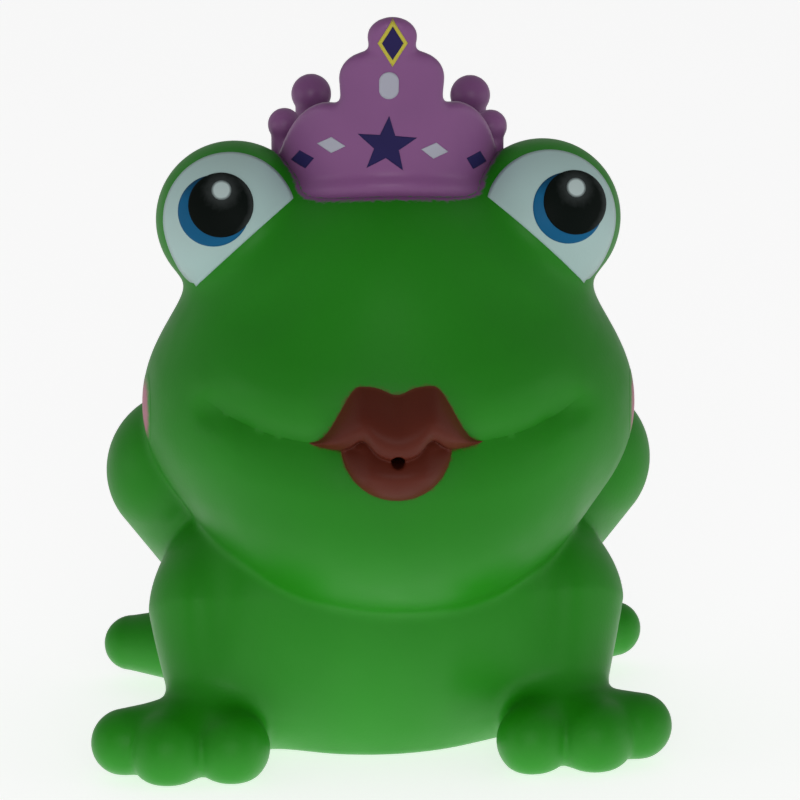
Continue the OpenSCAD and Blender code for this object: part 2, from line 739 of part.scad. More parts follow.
module lozenge_field() offset(delta = -lozenge_rim) diamond(lozenge_w, lozenge_h);
module crown_lozenge() color(star_blue) ornament(0, lozenge_z_share) lozenge_field();

module crown_oval() {
    color(oval_pale) ornament(oval_x_share, oval_z_share) hull() {
        for (side = [-1, 1]) translate([0, side * (oval_h - oval_w) / 2]) circle(d = oval_w, $fn = smooth);
    }
}

module crown_white_diamonds() {
    color(oval_pale) for (n = [0, 1])
        ornament(diamond_x_shares[n], diamond_z_shares[n]) rotate(diamond_tilts[n]) diamond(diamond_w, diamond_h);
}

module crown_blue_diamonds() {
    color(star_blue) for (n = [0, 1])
        ornament(blue_x_shares[n], blue_z_shares[n]) rotate(blue_tilts[n]) diamond(blue_w, blue_h);
}

// Squeaker

module squeaker_cup() {
    color(squeaker_white) translate([0, squeak_y, 0]) difference() {
        union() {
            translate([0, 0, flange_z]) cylinder(d = flange_d, h = flange_t, $fn = smooth);
            translate([0, 0, flange_z]) cylinder(r = barrel_r, h = flange_t + barrel_h, $fn = smooth);
            translate([0, 0, snap_z]) cylinder(r1 = barrel_r + snap_out, r2 = barrel_r, h = snap_h, $fn = smooth);
        }
        translate([0, 0, barrel_z]) cylinder(r = bore_r, h = barrel_h + overrun, $fn = smooth);
        translate([0, 0, -overrun]) cylinder(d = vent_d, h = barrel_z + 2 * overrun, $fn = smooth);
    }
}

// Half of a round block that fits the barrel's bore; its flat face lies at a distance from the middle
module half_block(side, face, h) {
    intersection() {
        cylinder(r = block_r, h = h, $fn = smooth);
        translate([-block_r, side > 0 ? face : -face - block_r, 0]) cube([2 * block_r, block_r, h]);
    }
}

module reed_block() {
    color(squeaker_white) translate([0, squeak_y, block_z]) difference() {
        half_block(1, reed_face, block_h);
        translate([-reed_w / 2 - fit_gap, 0, clamp_h + fit_gap])
            cube([reed_w + 2 * fit_gap, reed_face + swing_d, block_h]);
        translate([-channel_w / 2, 0, -overrun])
            cube([channel_w, reed_face + swing_d + channel_d, block_h + 2 * overrun]);
    }
}

module reed_wedge() color(squeaker_white) translate([0, squeak_y, block_z]) half_block(-1, reed_face, clamp_h);

module reed() {
    color(reed_brass) translate([-reed_w / 2, squeak_y - reed_t / 2, reed_z]) cube([reed_w, reed_t, reed_l]);
}

module squeaker_cap() {
    color(squeaker_white) translate([0, squeak_y, cap_z]) difference() {
        union() {
            cylinder(r = barrel_r, h = cap_t, $fn = smooth);
            translate([0, 0, -cap_spigot_h]) cylinder(r = block_r, h = cap_spigot_h + cap_t, $fn = smooth);
        }
        translate([0, 0, -cap_spigot_h - overrun])
            cylinder(r = block_r - barrel_wall, h = cap_spigot_h + overrun, $fn = smooth);
        translate([0, 0, -overrun]) cylinder(d = vent_d, h = cap_t + 2 * overrun, $fn = smooth);
    }
}

body_skin();
head_skin();
on_head() crown();
on_head() lips();
on_head() eye_white(-1);  // left_eye_white
on_head() eye_white(1);  // right_eye_white
on_head() iris(-1);  // left_iris
on_head() iris(1);  // right_iris
on_head() pupil(-1);  // left_pupil
on_head() pupil(1);  // right_pupil
on_head() glint(-1);  // left_glint
on_head() glint(1);  // right_glint
on_head() cheek(-1);  // left_cheek
on_head() cheek(1);  // right_cheek
on_head() crown_star();
on_head() crown_lozenge_frame();
on_head() crown_lozenge();
on_head() crown_oval();
on_head() crown_white_diamonds();
on_head() crown_blue_diamonds();
squeaker_cup();
reed_block();
reed();
reed_wedge();
squeaker_cap();
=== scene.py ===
"""Looks of a squeaky bath toy: a soft vinyl frog with a sprayed crown and lips and printed eyes."""
import math

import bpy
import numpy as np
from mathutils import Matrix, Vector


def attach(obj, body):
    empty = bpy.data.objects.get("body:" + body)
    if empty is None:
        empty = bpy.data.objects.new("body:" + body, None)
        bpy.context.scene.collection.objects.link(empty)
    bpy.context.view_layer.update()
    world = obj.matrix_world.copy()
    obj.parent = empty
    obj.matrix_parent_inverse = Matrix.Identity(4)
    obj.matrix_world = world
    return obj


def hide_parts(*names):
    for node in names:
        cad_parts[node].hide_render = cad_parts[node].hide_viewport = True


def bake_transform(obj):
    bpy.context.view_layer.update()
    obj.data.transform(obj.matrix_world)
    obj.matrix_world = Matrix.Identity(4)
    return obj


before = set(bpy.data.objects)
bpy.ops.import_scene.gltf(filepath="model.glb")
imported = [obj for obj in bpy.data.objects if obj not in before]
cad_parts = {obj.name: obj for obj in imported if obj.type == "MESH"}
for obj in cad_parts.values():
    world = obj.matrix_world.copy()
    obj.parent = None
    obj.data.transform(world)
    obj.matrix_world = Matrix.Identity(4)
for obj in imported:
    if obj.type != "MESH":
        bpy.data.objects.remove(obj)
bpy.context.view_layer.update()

# All sizes and places below are in millimetres, in the CAD frame; meshes are made in metres.
MM = 0.001

# Grid pitch of each meshed piece
SKIN_PITCH = 0.5
CROWN_PITCH = 0.36
LIPS_PITCH = 0.2
# Low and high corners of each grid
SKIN_BOX = ((-36, -30.5, 0), (36, 30.5, 74.5))
CROWN_BOX = ((-16, -14, 62), (16, 20, 91))
LIPS_BOX = ((-11.5, -30.5, 34), (11.5, -17, 50))
# Grid rows worked out at once, and how points are settled, smoothed and pressed onto a surface
ROWS_AT_ONCE = 12
SETTLE_ROUNDS = 3
STEPS_PER_PITCH = 10
LEAST_SLOPE = 0.1
SMILE_ROUNDS = 4
SMILE_LEAST_SLOPE = 0.3
CROWN_EASE = 1
LIPS_EASE = 2
PRESS_ROUNDS = 36
CAST_ROUNDS = 6
FILM_STEP = 0.05
TINY = 1e-6

# Head: middles and half sizes of its rounds, on the straight head's frame
HEAD_TURN = math.radians(1.2)
HEAD_SHIFT = np.array((0.95, 0, 0))
HEAD_C = np.array((0, 0.2, 41.7))
HEAD_HALF = np.array((29.8, 25.5, 21.5))
BROW_C = np.array((0, -0.3, 56))
BROW_HALF = np.array((16, 18, 15))
CHIN_C = np.array((0, -6.3, 30.8))
CHIN_HALF = np.array((20.5, 18.5, 13.6))
FACE_BLEND = 6
EYE_C = np.array((18.5, -0.3, 64.4))
EYE_R = 9.4
EYE_BLEND = 4.5
EYE_FLOW = 10
EYE_FLOW_FROM_TO = (1, 7)

# Smile: a line that rises towards its corners, with a long roll above it, a recess under it and a dimple
SMILE_Z = 41.9
SMILE_RISE = 3.5
SMILE_POWER = 4
SMILE_X = 22.8
SMILE_FADE = 5.5
SMILE_INNER = (3, 6)
GROOVE_DEPTH = 1.9
GROOVE_SOFT = 0.08
ROLL_H = 6.0
RECESS_H = 6.2
DIMPLE_X = 21.6
DIMPLE_DROP = 0.9
DIMPLE_DEPTH = 0.9
DIMPLE_R = 2.0
MUZZLE_BACK = -4.3
MUZZLE_SOFT = 2.0

# Body
TORSO_C = np.array((0, 4.2, 17.5))
TORSO_HALF = np.array((25.5, 22, 24))
STANCE = 0.08
SHOULDER_SHARE = np.array((0.77, -0.39, -0.04))
ANKLE_SHARE = np.array((0.82, -0.66, -0.52))
KNEE_SHARE = np.array((0.94, 0.18, 0.6))
HAUNCH_SHARE = np.array((0.5, 0.5, -0.2))
LEG_R = 8.9
ANKLE_R = 5.2
KNEE_R = 9.6
HAUNCH_R = 8.2
LEG_BLEND = 8
HAUNCH_BLEND = 2
CREASE_BLEND = 1.0
TOE_ROOT_SHARES = ((0.82, -0.7), (0.86, -0.75), (0.8, -0.75))
TOE_TIP_SHARES = ((1.21, -0.9), (1, -1.01), (0.7, -1.01))
TOE_LIFTS = (1.0, 0, 0)
TOE_ROOT_RS = (4.8, 5.2, 5.2)
TOE_RS = (4.0, 4.6, 4.6)
# Depth and half width of the grooves between the toes
TOE_GROOVE = 0.28
TOE_GROOVE_W = 1.0
HIND_ROOT_SHARE = (0.62, 0.66)
HIND_TIP_SHARE = (1.21, 0.88)
HIND_LIFT = 2.1
HIND_ROOT_R = 6.4
HIND_R = 3.5
TOE_FLAT_SHARE = 0.14
TOE_BLEND = 2.2
FOOT_BLEND = 2.2
FLOOR_ROUND = 1.0
LEG_SHIFT = np.array((0.9, 0, 0))
HIND_SHIFT = np.array((-0.5, 0, 0))
# Soft valley between a front leg and the belly
VALLEY_X = 20.6
VALLEY_W = 2.3
VALLEY_DEPTH = 0.8
VALLEY_Z = 21
VALLEY_H = 8

# Lips: how far they stand out of the face over an outline
LIP_CORNER_X = 10.4
LIP_CORNER_POWER = 2.5
LIP_TOP_Z = 49.2
LIP_LOW_Z = 42.2
LIP_SIDE = (4.2, 9.6)
BOW_DIP = 0.9
BOW_W = 1.7
LIP_LEAST = 0.25
# Edge of the upper lip: a nub in the middle and an arch at each side of it
EDGE_Z = 42.2
NUB_DROP = 0.3
NUB_W = 1.4
ARCH_X = 4.0
ARCH_RISE = 1.8
ARCH_W = 1.35
EDGE_ROLL = 1.1
EDGE_CORNER_SHARE = 0.3
UPPER_OUT = 4.5
UPPER_TURN = 0.7
UPPER_CORNER_POWER = 1.2
# Half-round lower lip, with a funnel about the jet hole
POUT_Z = 42.1
POUT_HALF = (6.5, 6.05)
POUT_OUT = 4.3
POUT_FADE = (44.8, 39.2)
FUNNEL = 0.4
FUNNEL_R = 2.4
LIP_JOIN_POWER = 6
LIP_RIM = 0.08
LIP_BACK = (-8, -14)
JET_Z = 41.27
JET_R = 0.8
JET_END_Y = -15

# Crown
CROWN_Y = 3.4
CROWN_Z = 66
CROWN_R = 10.7
CROWN_WALL = 2.8
CROWN_H = 24.5
CROWN_LEAN = 0.19
RING_H = 6.6
FRONT_RISE = 7.2
EDGE_TURNS = (math.radians(88), math.radians(33))
SHOULDER_W = 11.3
SHOULDER_H = 20.4
SHOULDER_ROUND = 3.7
TIP_R = 2.45
BEAD_R = 1.05
BEAD_H = 1.3
BEAD_RISE = 2.7
BEAD_BLEND = 1.2
CROWN_ROUND = 1.4
POINT_BLEND = 1.4
POST_H = 5
POST_SHARE = 0.8
# Direction in degrees, height above the foot and radius of the side, back and rear balls
BALLS = ((90, 9.0, 2.0), (131, 11.3, 2.45), (180, 12.2, 2.3))
BALL_TURN = math.radians(5)
# How far the crown and the lips reach into the skin, so that no gap shows
SUNK = 0.5

# Squeaker pocket in the base
SQUEAK_Y = 4.2
FLANGE_R = 8.6
FLANGE_H = 1.2
BARREL_R = 6.4
POCKET_H = 15

# Prints
PAD_TILT = math.radians(13.6)
WHITE_R = 7.9
WHITE_CUT = 3.1
WHITE_TURN = math.radians(40)
WHITE_CORNER = 0.12
WHITE_CORNER_W = 0.45
WHITE_SHARE = (0.06, -0.02)
IRIS_R = 4.2
IRIS_SHARE = (0.26, 0.07)
PUPIL_R = 3.8
PUPIL_SHIFT_SHARE = (0.09, 0.07)
GLINT_R = 1.15
GLINT_SHIFT_SHARE = (0.01, 0.18)
CHEEK_R = 4.5
CHEEK_SHARE = (-0.1, 0.0)
FILM = 0.05
FILM_SUNK = 0.12
# Printed round: share of its radius that is cast at first, and limits of the lean when it is corrected
ROUND_EDGE = 0.97
LEAN_MOST = math.radians(88)
LEAN_LEAST_COS = 0.2


def smooth_min(a, b, k):
    return np.minimum(a, b) - np.maximum(k - np.abs(a - b), 0) ** 2 / (4 * k)


def smooth_max(a, b, k):
    return -smooth_min(-a, -b, k)


def smooth_step(a, b, value):
    t = np.clip((value - a) / (b - a), 0, 1)
    return t * t * (3 - 2 * t)


def bell(value):
    return np.exp(-value * value)


def length(v):
    return np.sqrt((v * v).sum(-1))


def ellipsoid(p, middle, half):
    """About the distance to an ellipsoid, negative inside, as in all the fields below."""
    u = (p - middle) / half
    n = length(u)
    return n * (n - 1) / np.maximum(length(u / half), TINY)


def tapered(p, a, b, a_r, b_r):
    """Distance to a round rod from a to b whose radius changes on the way."""
    a, b = np.asarray(a, float), np.asarray(b, float)
    run = b - a
    t = np.clip((p - a) @ run / (run @ run), 0, 1)
    return length(p - a - t[..., None] * run) - a_r - (b_r - a_r) * t


def turn_about_z(p, angle):
    x, y = p[..., 0], p[..., 1]
    c, s = math.cos(angle), math.sin(angle)
    return np.stack([x * c - y * s, x * s + y * c, p[..., 2]], -1)


def to_head(p):
    return turn_about_z(p - HEAD_SHIFT, -HEAD_TURN)


def from_head(p):
    return turn_about_z(p, HEAD_TURN) + HEAD_SHIFT


def mirrored(p):
    return np.stack([np.abs(p[..., 0]), p[..., 1], p[..., 2]], -1)


def face_rounds(p):
    """Head without its mouth, on the straight head's frame."""
    q = mirrored(p)
    d = smooth_min(ellipsoid(q, HEAD_C, HEAD_HALF), ellipsoid(q, BROW_C, BROW_HALF), FACE_BLEND)
    d = smooth_min(d, ellipsoid(q, CHIN_C, CHIN_HALF), FACE_BLEND)
    inner = (EYE_C - q)[..., (0, 2)] @ np.array((math.sin(WHITE_TURN), math.cos(WHITE_TURN)))
    flow = EYE_BLEND + (EYE_FLOW - EYE_BLEND) * smooth_step(*EYE_FLOW_FROM_TO, inner)
    return smooth_min(d, length(q - EYE_C) - EYE_R, flow)


def smile_z(x):
    return SMILE_Z + SMILE_RISE * (x / DIMPLE_X) ** SMILE_POWER


def face(p):
    """Head with its smile, on the straight head's frame."""
    q = mirrored(p)
    x, y, z = q[..., 0], q[..., 1], q[..., 2]
    front = smooth_step(MUZZLE_BACK + MUZZLE_SOFT, MUZZLE_BACK - MUZZLE_SOFT, y)
    above = z - smile_z(x)
    fade = smooth_step(SMILE_X, SMILE_X - SMILE_FADE, x)
    away = np.sqrt(above * above + GROOVE_SOFT ** 2) - GROOVE_SOFT
    share = np.clip(1 - away / np.where(above > 0, ROLL_H, RECESS_H), 0, 1)
    groove = GROOVE_DEPTH * smooth_step(*SMILE_INNER, x) * share * share
    dimple = DIMPLE_DEPTH * bell(np.hypot(x - DIMPLE_X, z - smile_z(DIMPLE_X) + DIMPLE_DROP) / DIMPLE_R)
    return face_rounds(p) + front * (groove * fade + dimple)


def lip_height(p):
    """How far the lips stand out of the face at a point's x and z."""
    x, y, z = np.abs(p[..., 0]), p[..., 1], p[..., 2]
    corner = np.clip(1 - (x / LIP_CORNER_X) ** LIP_CORNER_POWER, 0, 1)
    top = LIP_TOP_Z - (LIP_TOP_Z - LIP_LOW_Z) * smooth_step(*LIP_SIDE, x) - BOW_DIP * bell(x / BOW_W)
    edge = EDGE_Z - NUB_DROP * bell(x / NUB_W) + ARCH_RISE * bell((x - ARCH_X) / ARCH_W)
    down = np.clip((top - z) / np.maximum(top - edge, LIP_LEAST), 0, 1)
    roll = np.clip((edge - z) / (EDGE_ROLL * (EDGE_CORNER_SHARE + (1 - EDGE_CORNER_SHARE) * corner)), 0, 1)
    upper = UPPER_OUT * corner ** UPPER_CORNER_POWER * np.sin(math.pi * UPPER_TURN * down)
    upper = upper * np.cos(math.pi / 2 * roll)
    drop = np.minimum(z, POUT_Z) - POUT_Z
    around = 1 - (x / POUT_HALF[0]) ** 2 - (drop / POUT_HALF[1]) ** 2
    pout = POUT_OUT * np.sqrt(np.clip(around, 0, 1)) * smooth_step(*POUT_FADE, z)
    pout = pout * (1 - FUNNEL / POUT_OUT * bell(np.hypot(x, z - JET_Z) / FUNNEL_R))
    both = (upper ** LIP_JOIN_POWER + pout ** LIP_JOIN_POWER) ** (1 / LIP_JOIN_POWER)
    return both * smooth_step(*LIP_BACK, y)


def jet(p):
    """Hole between the lips, on the straight head's frame."""
    hole = np.hypot(p[..., 0], p[..., 2] - JET_Z) - JET_R
    return np.maximum(hole, p[..., 1] - JET_END_Y)


def lips(p):
    """Lips on the straight head's frame, sunk into the face and cut by the jet hole."""
    rise, base = lip_height(p), face(p)
    d = np.maximum(np.maximum(base - rise, LIP_RIM - rise), -base - SUNK)
    return np.maximum(d, -jet(p))


def body_place(share):
    return TORSO_C + share * TORSO_HALF


def foot_place(share, radius):
    """Middle of a round of this radius that stands on the floor and is cut flat by it."""
    x, y = TORSO_C[:2] + np.array(share) * TORSO_HALF[:2]
    return np.array((x, y, radius * (1 - TOE_FLAT_SHARE)))


def body(p):
    """Belly, legs, haunches and feet, in the toy's frame."""
    x, y, z = p[..., 0], p[..., 1], p[..., 2]
    stance = np.stack([x, y - STANCE * x, z], -1)
    q = mirrored(stance)
    d = ellipsoid(q, TORSO_C, TORSO_HALF)
    shoulder, ankle = body_place(SHOULDER_SHARE), body_place(ANKLE_SHARE)
    leg = tapered(mirrored(stance - LEG_SHIFT), shoulder, ankle, LEG_R, ANKLE_R)
    d = smooth_min(d, leg, LEG_BLEND)
    front = smooth_step(TORSO_C[1], TORSO_C[1] - LEG_R, q[..., 1])
    d = d + VALLEY_DEPTH * front * bell((q[..., 0] - VALLEY_X) / VALLEY_W) * bell((z - VALLEY_Z) / VALLEY_H)
    haunch = tapered(q, body_place(KNEE_SHARE), body_place(HAUNCH_SHARE), KNEE_R, HAUNCH_R)
    d = smooth_min(d, haunch, HAUNCH_BLEND)
    toes = []
    toe_sizes = zip(TOE_ROOT_SHARES, TOE_TIP_SHARES, TOE_ROOT_RS, TOE_RS, TOE_LIFTS)
    for root, tip, root_r, tip_r, lift in toe_sizes:
        end = foot_place(tip, tip_r) + np.array((0, 0, lift))
        toes.append(tapered(q, foot_place(root, root_r), end, root_r, tip_r))
    foot = smooth_min(smooth_min(toes[0], toes[1], TOE_BLEND), toes[2], TOE_BLEND)
    low_on_foot = smooth_step(2 * TOE_ROOT_RS[1], TOE_ROOT_RS[1], z)
    for one, other in zip(toes, toes[1:]):
        foot = foot + TOE_GROOVE * low_on_foot * bell((one - other) / TOE_GROOVE_W)
    d = smooth_min(d, foot, FOOT_BLEND)
    hind_tip = foot_place(HIND_TIP_SHARE, HIND_R) + np.array((0, 0, HIND_LIFT))
    hind_root = foot_place(HIND_ROOT_SHARE, HIND_ROOT_R)
    hind = tapered(mirrored(stance - HIND_SHIFT), hind_root, hind_tip, HIND_ROOT_R, HIND_R)
    return smooth_max(smooth_min(d, hind, FOOT_BLEND), -z, FLOOR_ROUND)


def pocket(p):
    """Room for the squeaker in the base."""
    out = np.hypot(p[..., 0], p[..., 1] - SQUEAK_Y)
    flange = np.maximum(out - FLANGE_R, p[..., 2] - FLANGE_H)
    return np.minimum(flange, np.maximum(out - BARREL_R, p[..., 2] - POCKET_H))


def skin(p):
    """Whole skin in the toy's frame."""
    q = to_head(p)
    d = np.maximum(smooth_min(face(q), body(p), CREASE_BLEND), -jet(q))
    return np.maximum(d, -pocket(p))


def ring_radius(z):
    return CROWN_R + CROWN_LEAN * (z - CROWN_Z)


def crown_rounds(p):
    """Crown before it is cut by the head, on the straight head's frame."""
    q = mirrored(p)
    z = q[..., 2]
    turn = np.arctan2(q[..., 0], CROWN_Y - q[..., 1])
    out = np.hypot(q[..., 0], q[..., 1] - CROWN_Y)
    front = np.where(turn < math.pi / 2, np.cos(turn) ** 2, 0)
    along = turn * ring_radius(CROWN_Z + SHOULDER_H / 2)
    side = along - SHOULDER_W / 2 + SHOULDER_ROUND
    rise = z - CROWN_Z - SHOULDER_H + SHOULDER_ROUND
    shoulders = np.hypot(np.maximum(side, 0), np.maximum(rise, 0)) + np.minimum(np.maximum(side, rise), 0)
    tip = np.hypot(along, z - CROWN_Z - CROWN_H + TIP_R) - TIP_R
    point = smooth_min(shoulders - SHOULDER_ROUND, tip, POINT_BLEND)
    edge = RING_H + FRONT_RISE * smooth_step(*EDGE_TURNS, turn)
    outline = smooth_min(point, z - CROWN_Z - edge, POINT_BLEND)
    plate = smooth_max(np.abs(out - ring_radius(z)) - CROWN_WALL / 2, outline, CROWN_ROUND)
    bead_z = CROWN_Z + BEAD_H + BEAD_RISE * front
    bead = np.hypot(out - ring_radius(bead_z) - CROWN_WALL / 2, z - bead_z) - BEAD_R
    d = smooth_min(plate, bead, BEAD_BLEND)
    for degrees, height, radius in BALLS:
        a = math.radians(degrees)
        r = ring_radius(CROWN_Z + height)
        for turned in ((a + BALL_TURN, BALL_TURN - a) if degrees < 180 else (a + BALL_TURN,)):
            middle = np.array((-r * math.sin(turned), CROWN_Y - r * math.cos(turned), CROWN_Z + height))
            foot = middle - np.array((0, 0, POST_H))
            post = tapered(p, foot, middle, POST_SHARE * radius, POST_SHARE * radius)
            d = smooth_min(d, np.minimum(length(p - middle) - radius, post), CROWN_ROUND / 2)
    return d


def crown(p):
    """Crown, sunk into the head and cut off under its surface."""
    return np.maximum(crown_rounds(p), -face_rounds(p) - SUNK)


def slope(field, p, step):
    parts = []
    for axis in range(3):
        shift = np.zeros(3)
        shift[axis] = step
        parts.append(field(p + shift) - field(p - shift))
    return np.stack(parts, -1) / (2 * step)


def bend(field, p, step):
    """How sharply the surface bends outward at each point, in 1/mm."""
    total = -6 * field(p)
    for axis in range(3):
        shift = np.zeros(3)
        shift[axis] = step
        total = total + field(p + shift) + field(p - shift)
    return total / (step * step)


def net(field, low, high, pitch):
    """Points and quads of a field's surface: one point in each crossed grid cell, settled onto it."""
    axes = [np.arange(a - pitch, b + 2 * pitch, pitch) for a, b in zip(low, high)]
    rows = [field(np.stack(np.meshgrid(part, axes[1], axes[2], indexing="ij"), -1))
            for part in np.array_split(axes[0], max(1, len(axes[0]) // ROWS_AT_ONCE))]
    value = np.concatenate(rows)
    inside = value < 0
    shape = np.array(value.shape) - 1
    count = np.zeros(shape.prod())
    place = np.zeros((shape.prod(), 3))
    edges = []
    for axis in range(3):
        a = [slice(None)] * 3
        b = [slice(None)] * 3
        a[axis] = slice(None, -1)
        b[axis] = slice(1, None)
        start = np.argwhere(inside[tuple(a)] != inside[tuple(b)])
        end = start.copy()
        end[:, axis] += 1
        first, last = value[tuple(start.T)], value[tuple(end.T)]
        hit = start.astype(float)
        hit[:, axis] += first / (first - last)
        u, v = (axis + 1) % 3, (axis + 2) % 3
        corners = []
        for du, dv in ((-1, -1), (0, -1), (0, 0), (-1, 0)):
            cell = start.copy()
            cell[:, u] += du
            cell[:, v] += dv
            flat = np.ravel_multi_index(cell.T, shape)
            np.add.at(count, flat, 1)
            np.add.at(place, flat, hit)
            corners.append(flat)
        quad = np.stack(corners, 1)
        quad[first > 0] = quad[first > 0][:, ::-1]
        edges.append(quad)
    used = np.flatnonzero(count)
    index = np.full(len(count), -1)
    index[used] = np.arange(len(used))
    points = np.array([axis[0] for axis in axes]) + pitch * place[used] / count[used][:, None]
    for _ in range(SETTLE_ROUNDS):
        g = slope(field, points, pitch / STEPS_PER_PITCH)
        step = field(points)[:, None] * g / np.maximum((g * g).sum(-1), LEAST_SLOPE)[:, None]
        points = points - np.clip(step, -pitch / 2, pitch / 2)
    return points, index[np.concatenate(edges)]


def eased(points, faces, rounds):
    """Points moved halfway to the middle of their neighbours, a few times."""
    for _ in range(rounds):
        total = np.zeros_like(points)
        count = np.zeros((len(points), 1))
        for a in range(4):
            for b in (a - 1, (a + 1) % 4):
                np.add.at(total, faces[:, a], points[faces[:, b]])
                np.add.at(count, faces[:, a], 1)
        points = (points + total / count) / 2
    return points


def split_along(faces, marked):
    """Quads, with those that have two marked opposite corners cut in two between them."""
    on = marked[faces]
    first = on[:, 0] & on[:, 2] & ~on[:, 1] & ~on[:, 3]
    second = on[:, 1] & on[:, 3] & ~on[:, 0] & ~on[:, 2]
    made = faces[~(first | second)].tolist()
    for a, b, c, d in faces[first]:
        made += [(a, b, c), (a, c, d)]
    for a, b, c, d in faces[second]:
        made += [(a, b, d), (b, c, d)]
    return made


def piece(name, points, faces, masks=None, flat=()):
    """A mesh object in metres, smooth but for its flat faces, with a float per point for each mask."""
    mesh = bpy.data.meshes.new(name)
    mesh.from_pydata((np.asarray(points) * MM).tolist(), [], [list(map(int, f)) for f in faces])
    smooth = np.ones(len(mesh.polygons), bool)
    smooth[list(flat)] = False
    mesh.polygons.foreach_set("use_smooth", smooth)
    for key, values in (masks or {}).items():
        mesh.attributes.new(key, "FLOAT", "POINT").data.foreach_set("value", np.asarray(values, np.float32))
    mesh.update()
    made = bpy.data.objects.new(name, mesh)
    bpy.context.scene.collection.objects.link(made)
    return made


def press(field, base, out, inner, reach):
    """Where lines from base along out leave the field's solid, from inner on."""
    outer = inner + reach
    for _ in range(PRESS_ROUNDS):
        half = (inner + outer) / 2
        within = field(base + half[:, None] * out) < 0
        inner = np.where(within, half, inner)
        outer = np.where(within, outer, half)
    return base + inner[:, None] * out


def cast_round(flat, radius):
    """Lean from straight out that meets a round of this radius over each flat point."""
    across = length(flat) / radius
    return np.arcsin(np.minimum(across, ROUND_EDGE))


def film(name, outline, origin, right, up, out, field, lift, rings, reach=16, masks=None, start=None,
         radius=0, rim_lift=None):
    """Thin print on the head's frame: a flat outline pressed onto the field's surface.

    It is pressed straight along -out, or, with a radius, towards the origin of a round of that radius.
    """
    outline = np.asarray(outline, float)
    middle = outline.mean(0)
    shares = np.linspace(0, 1, rings + 1)[1:]
    flat = np.concatenate([middle[None]] + [middle + s * (outline - middle) for s in shares])
    side = flat[:, :1] * np.asarray(right) + flat[:, 1:] * np.asarray(up)
    if radius:
        base = np.tile(origin, (len(flat), 1))
        across = length(flat)
        lean = cast_round(flat, radius)
        for _ in range(CAST_ROUNDS):
            turned = np.sin(lean)[:, None] * side / np.maximum(across, TINY)[:, None]
            spot = press(field, base, np.cos(lean)[:, None] * out + turned, np.zeros(len(base)), reach)
            missed = across - length(spot - base) * np.sin(lean)
            lean = np.clip(lean + missed / (radius * np.maximum(np.cos(lean), LEAN_LEAST_COS)), 0, LEAN_MOST)
    else:
        base = origin + side
        spot = press(field, base, out, start(flat) if start else np.zeros(len(base)), reach)
    normal = slope(field, spot, FILM_STEP)
    normal = normal / length(normal)[:, None]
    n = len(outline)
    lifts = np.full((len(spot), 1), float(lift))
    lifts[-n:] = lift if rim_lift is None else rim_lift
    points = np.concatenate([spot + lifts * normal, spot - FILM_SUNK * normal])
    below = len(spot)
    faces, wall = [], []
    for i in range(n):
        j = (i + 1) % n
        faces.append((0, 1 + i, 1 + j))
        faces.append((below, below + 1 + j, below + 1 + i))
        for ring in range(rings - 1):
            a, b = 1 + ring * n, 1 + (ring + 1) * n
            faces.append((a + i, b + i, b + j, a + j))
            faces.append((below + a + i, below + a + j, below + b + j, below + b + i))
        rim = 1 + (rings - 1) * n
        wall.append(len(faces))
        faces.append((rim + i, below + rim + i, below + rim + j, rim + j))
    extra = {key: np.tile(make(flat - middle), 2) for key, make in (masks or {}).items()}
    return piece(name, from_head(points), faces, extra, wall)


def circle(radius, count=72):
    turn = np.linspace(0, 2 * math.pi, count, endpoint=False)
    return radius * np.stack([np.cos(turn), np.sin(turn)], 1)


def sides(corners, count=8):
    """Corners of a closed outline, with points between them."""
    corners = np.asarray(corners, float)
    t = np.arange(count)[:, None] / count
    return np.concatenate([a + t * (b - a) for a, b in zip(corners, np.roll(corners, -1, 0))])


# Materials

# Ends of the noise that is spread over a material, for mottles and for the rest
MOTTLE_ENDS = (0.35, 0.65)
NOISE_ENDS = (0.3, 0.7)
# Noise scales, in 1/m, of the speckle at a mask's edge and of the duller patches
SPECKLE_SCALE = 1700
PATCH_SCALE = 190
ROUGHNESS_SPREAD = 0.05
BUMP_STRENGTH = 0.5
SOFT_DEPTH = 0.002


def new_material(name):
    made = bpy.data.materials.new(name)
    made.use_nodes = True
    nodes = made.node_tree.nodes
    return made, nodes, made.node_tree.links, nodes["Principled BSDF"]


def noise(nodes, links, where, scale, detail=3.0, roughness=0.55):
    made = nodes.new("ShaderNodeTexNoise")
    made.inputs["Scale"].default_value = scale
    made.inputs["Detail"].default_value = detail
    made.inputs["Roughness"].default_value = roughness
    links.new(where, made.inputs["Vector"])
    return made.outputs["Fac"]


def spread(nodes, links, value, low, high, to_low, to_high):
    made = nodes.new("ShaderNodeMapRange")
    made.inputs["From Min"].default_value = low
    made.inputs["From Max"].default_value = high
    made.inputs["To Min"].default_value = to_low
    made.inputs["To Max"].default_value = to_high
    links.new(value, made.inputs["Value"])
    return made.outputs["Result"]


def blend_colour(nodes, links, factor, a, b):
    """Mix of two colours; each is a colour or an output."""
    made = nodes.new("ShaderNodeMix")
    made.data_type = "RGBA"
    links.new(factor, made.inputs["Factor"])
    for key, colour in (("A", a), ("B", b)):
        socket = [s for s in made.inputs if s.name == key and s.type == "RGBA"][0]
        if isinstance(colour, bpy.types.NodeSocket):
            links.new(colour, socket)
        else:
            socket.default_value = (*colour, 1)
    return [s for s in made.outputs if s.type == "RGBA"][0]


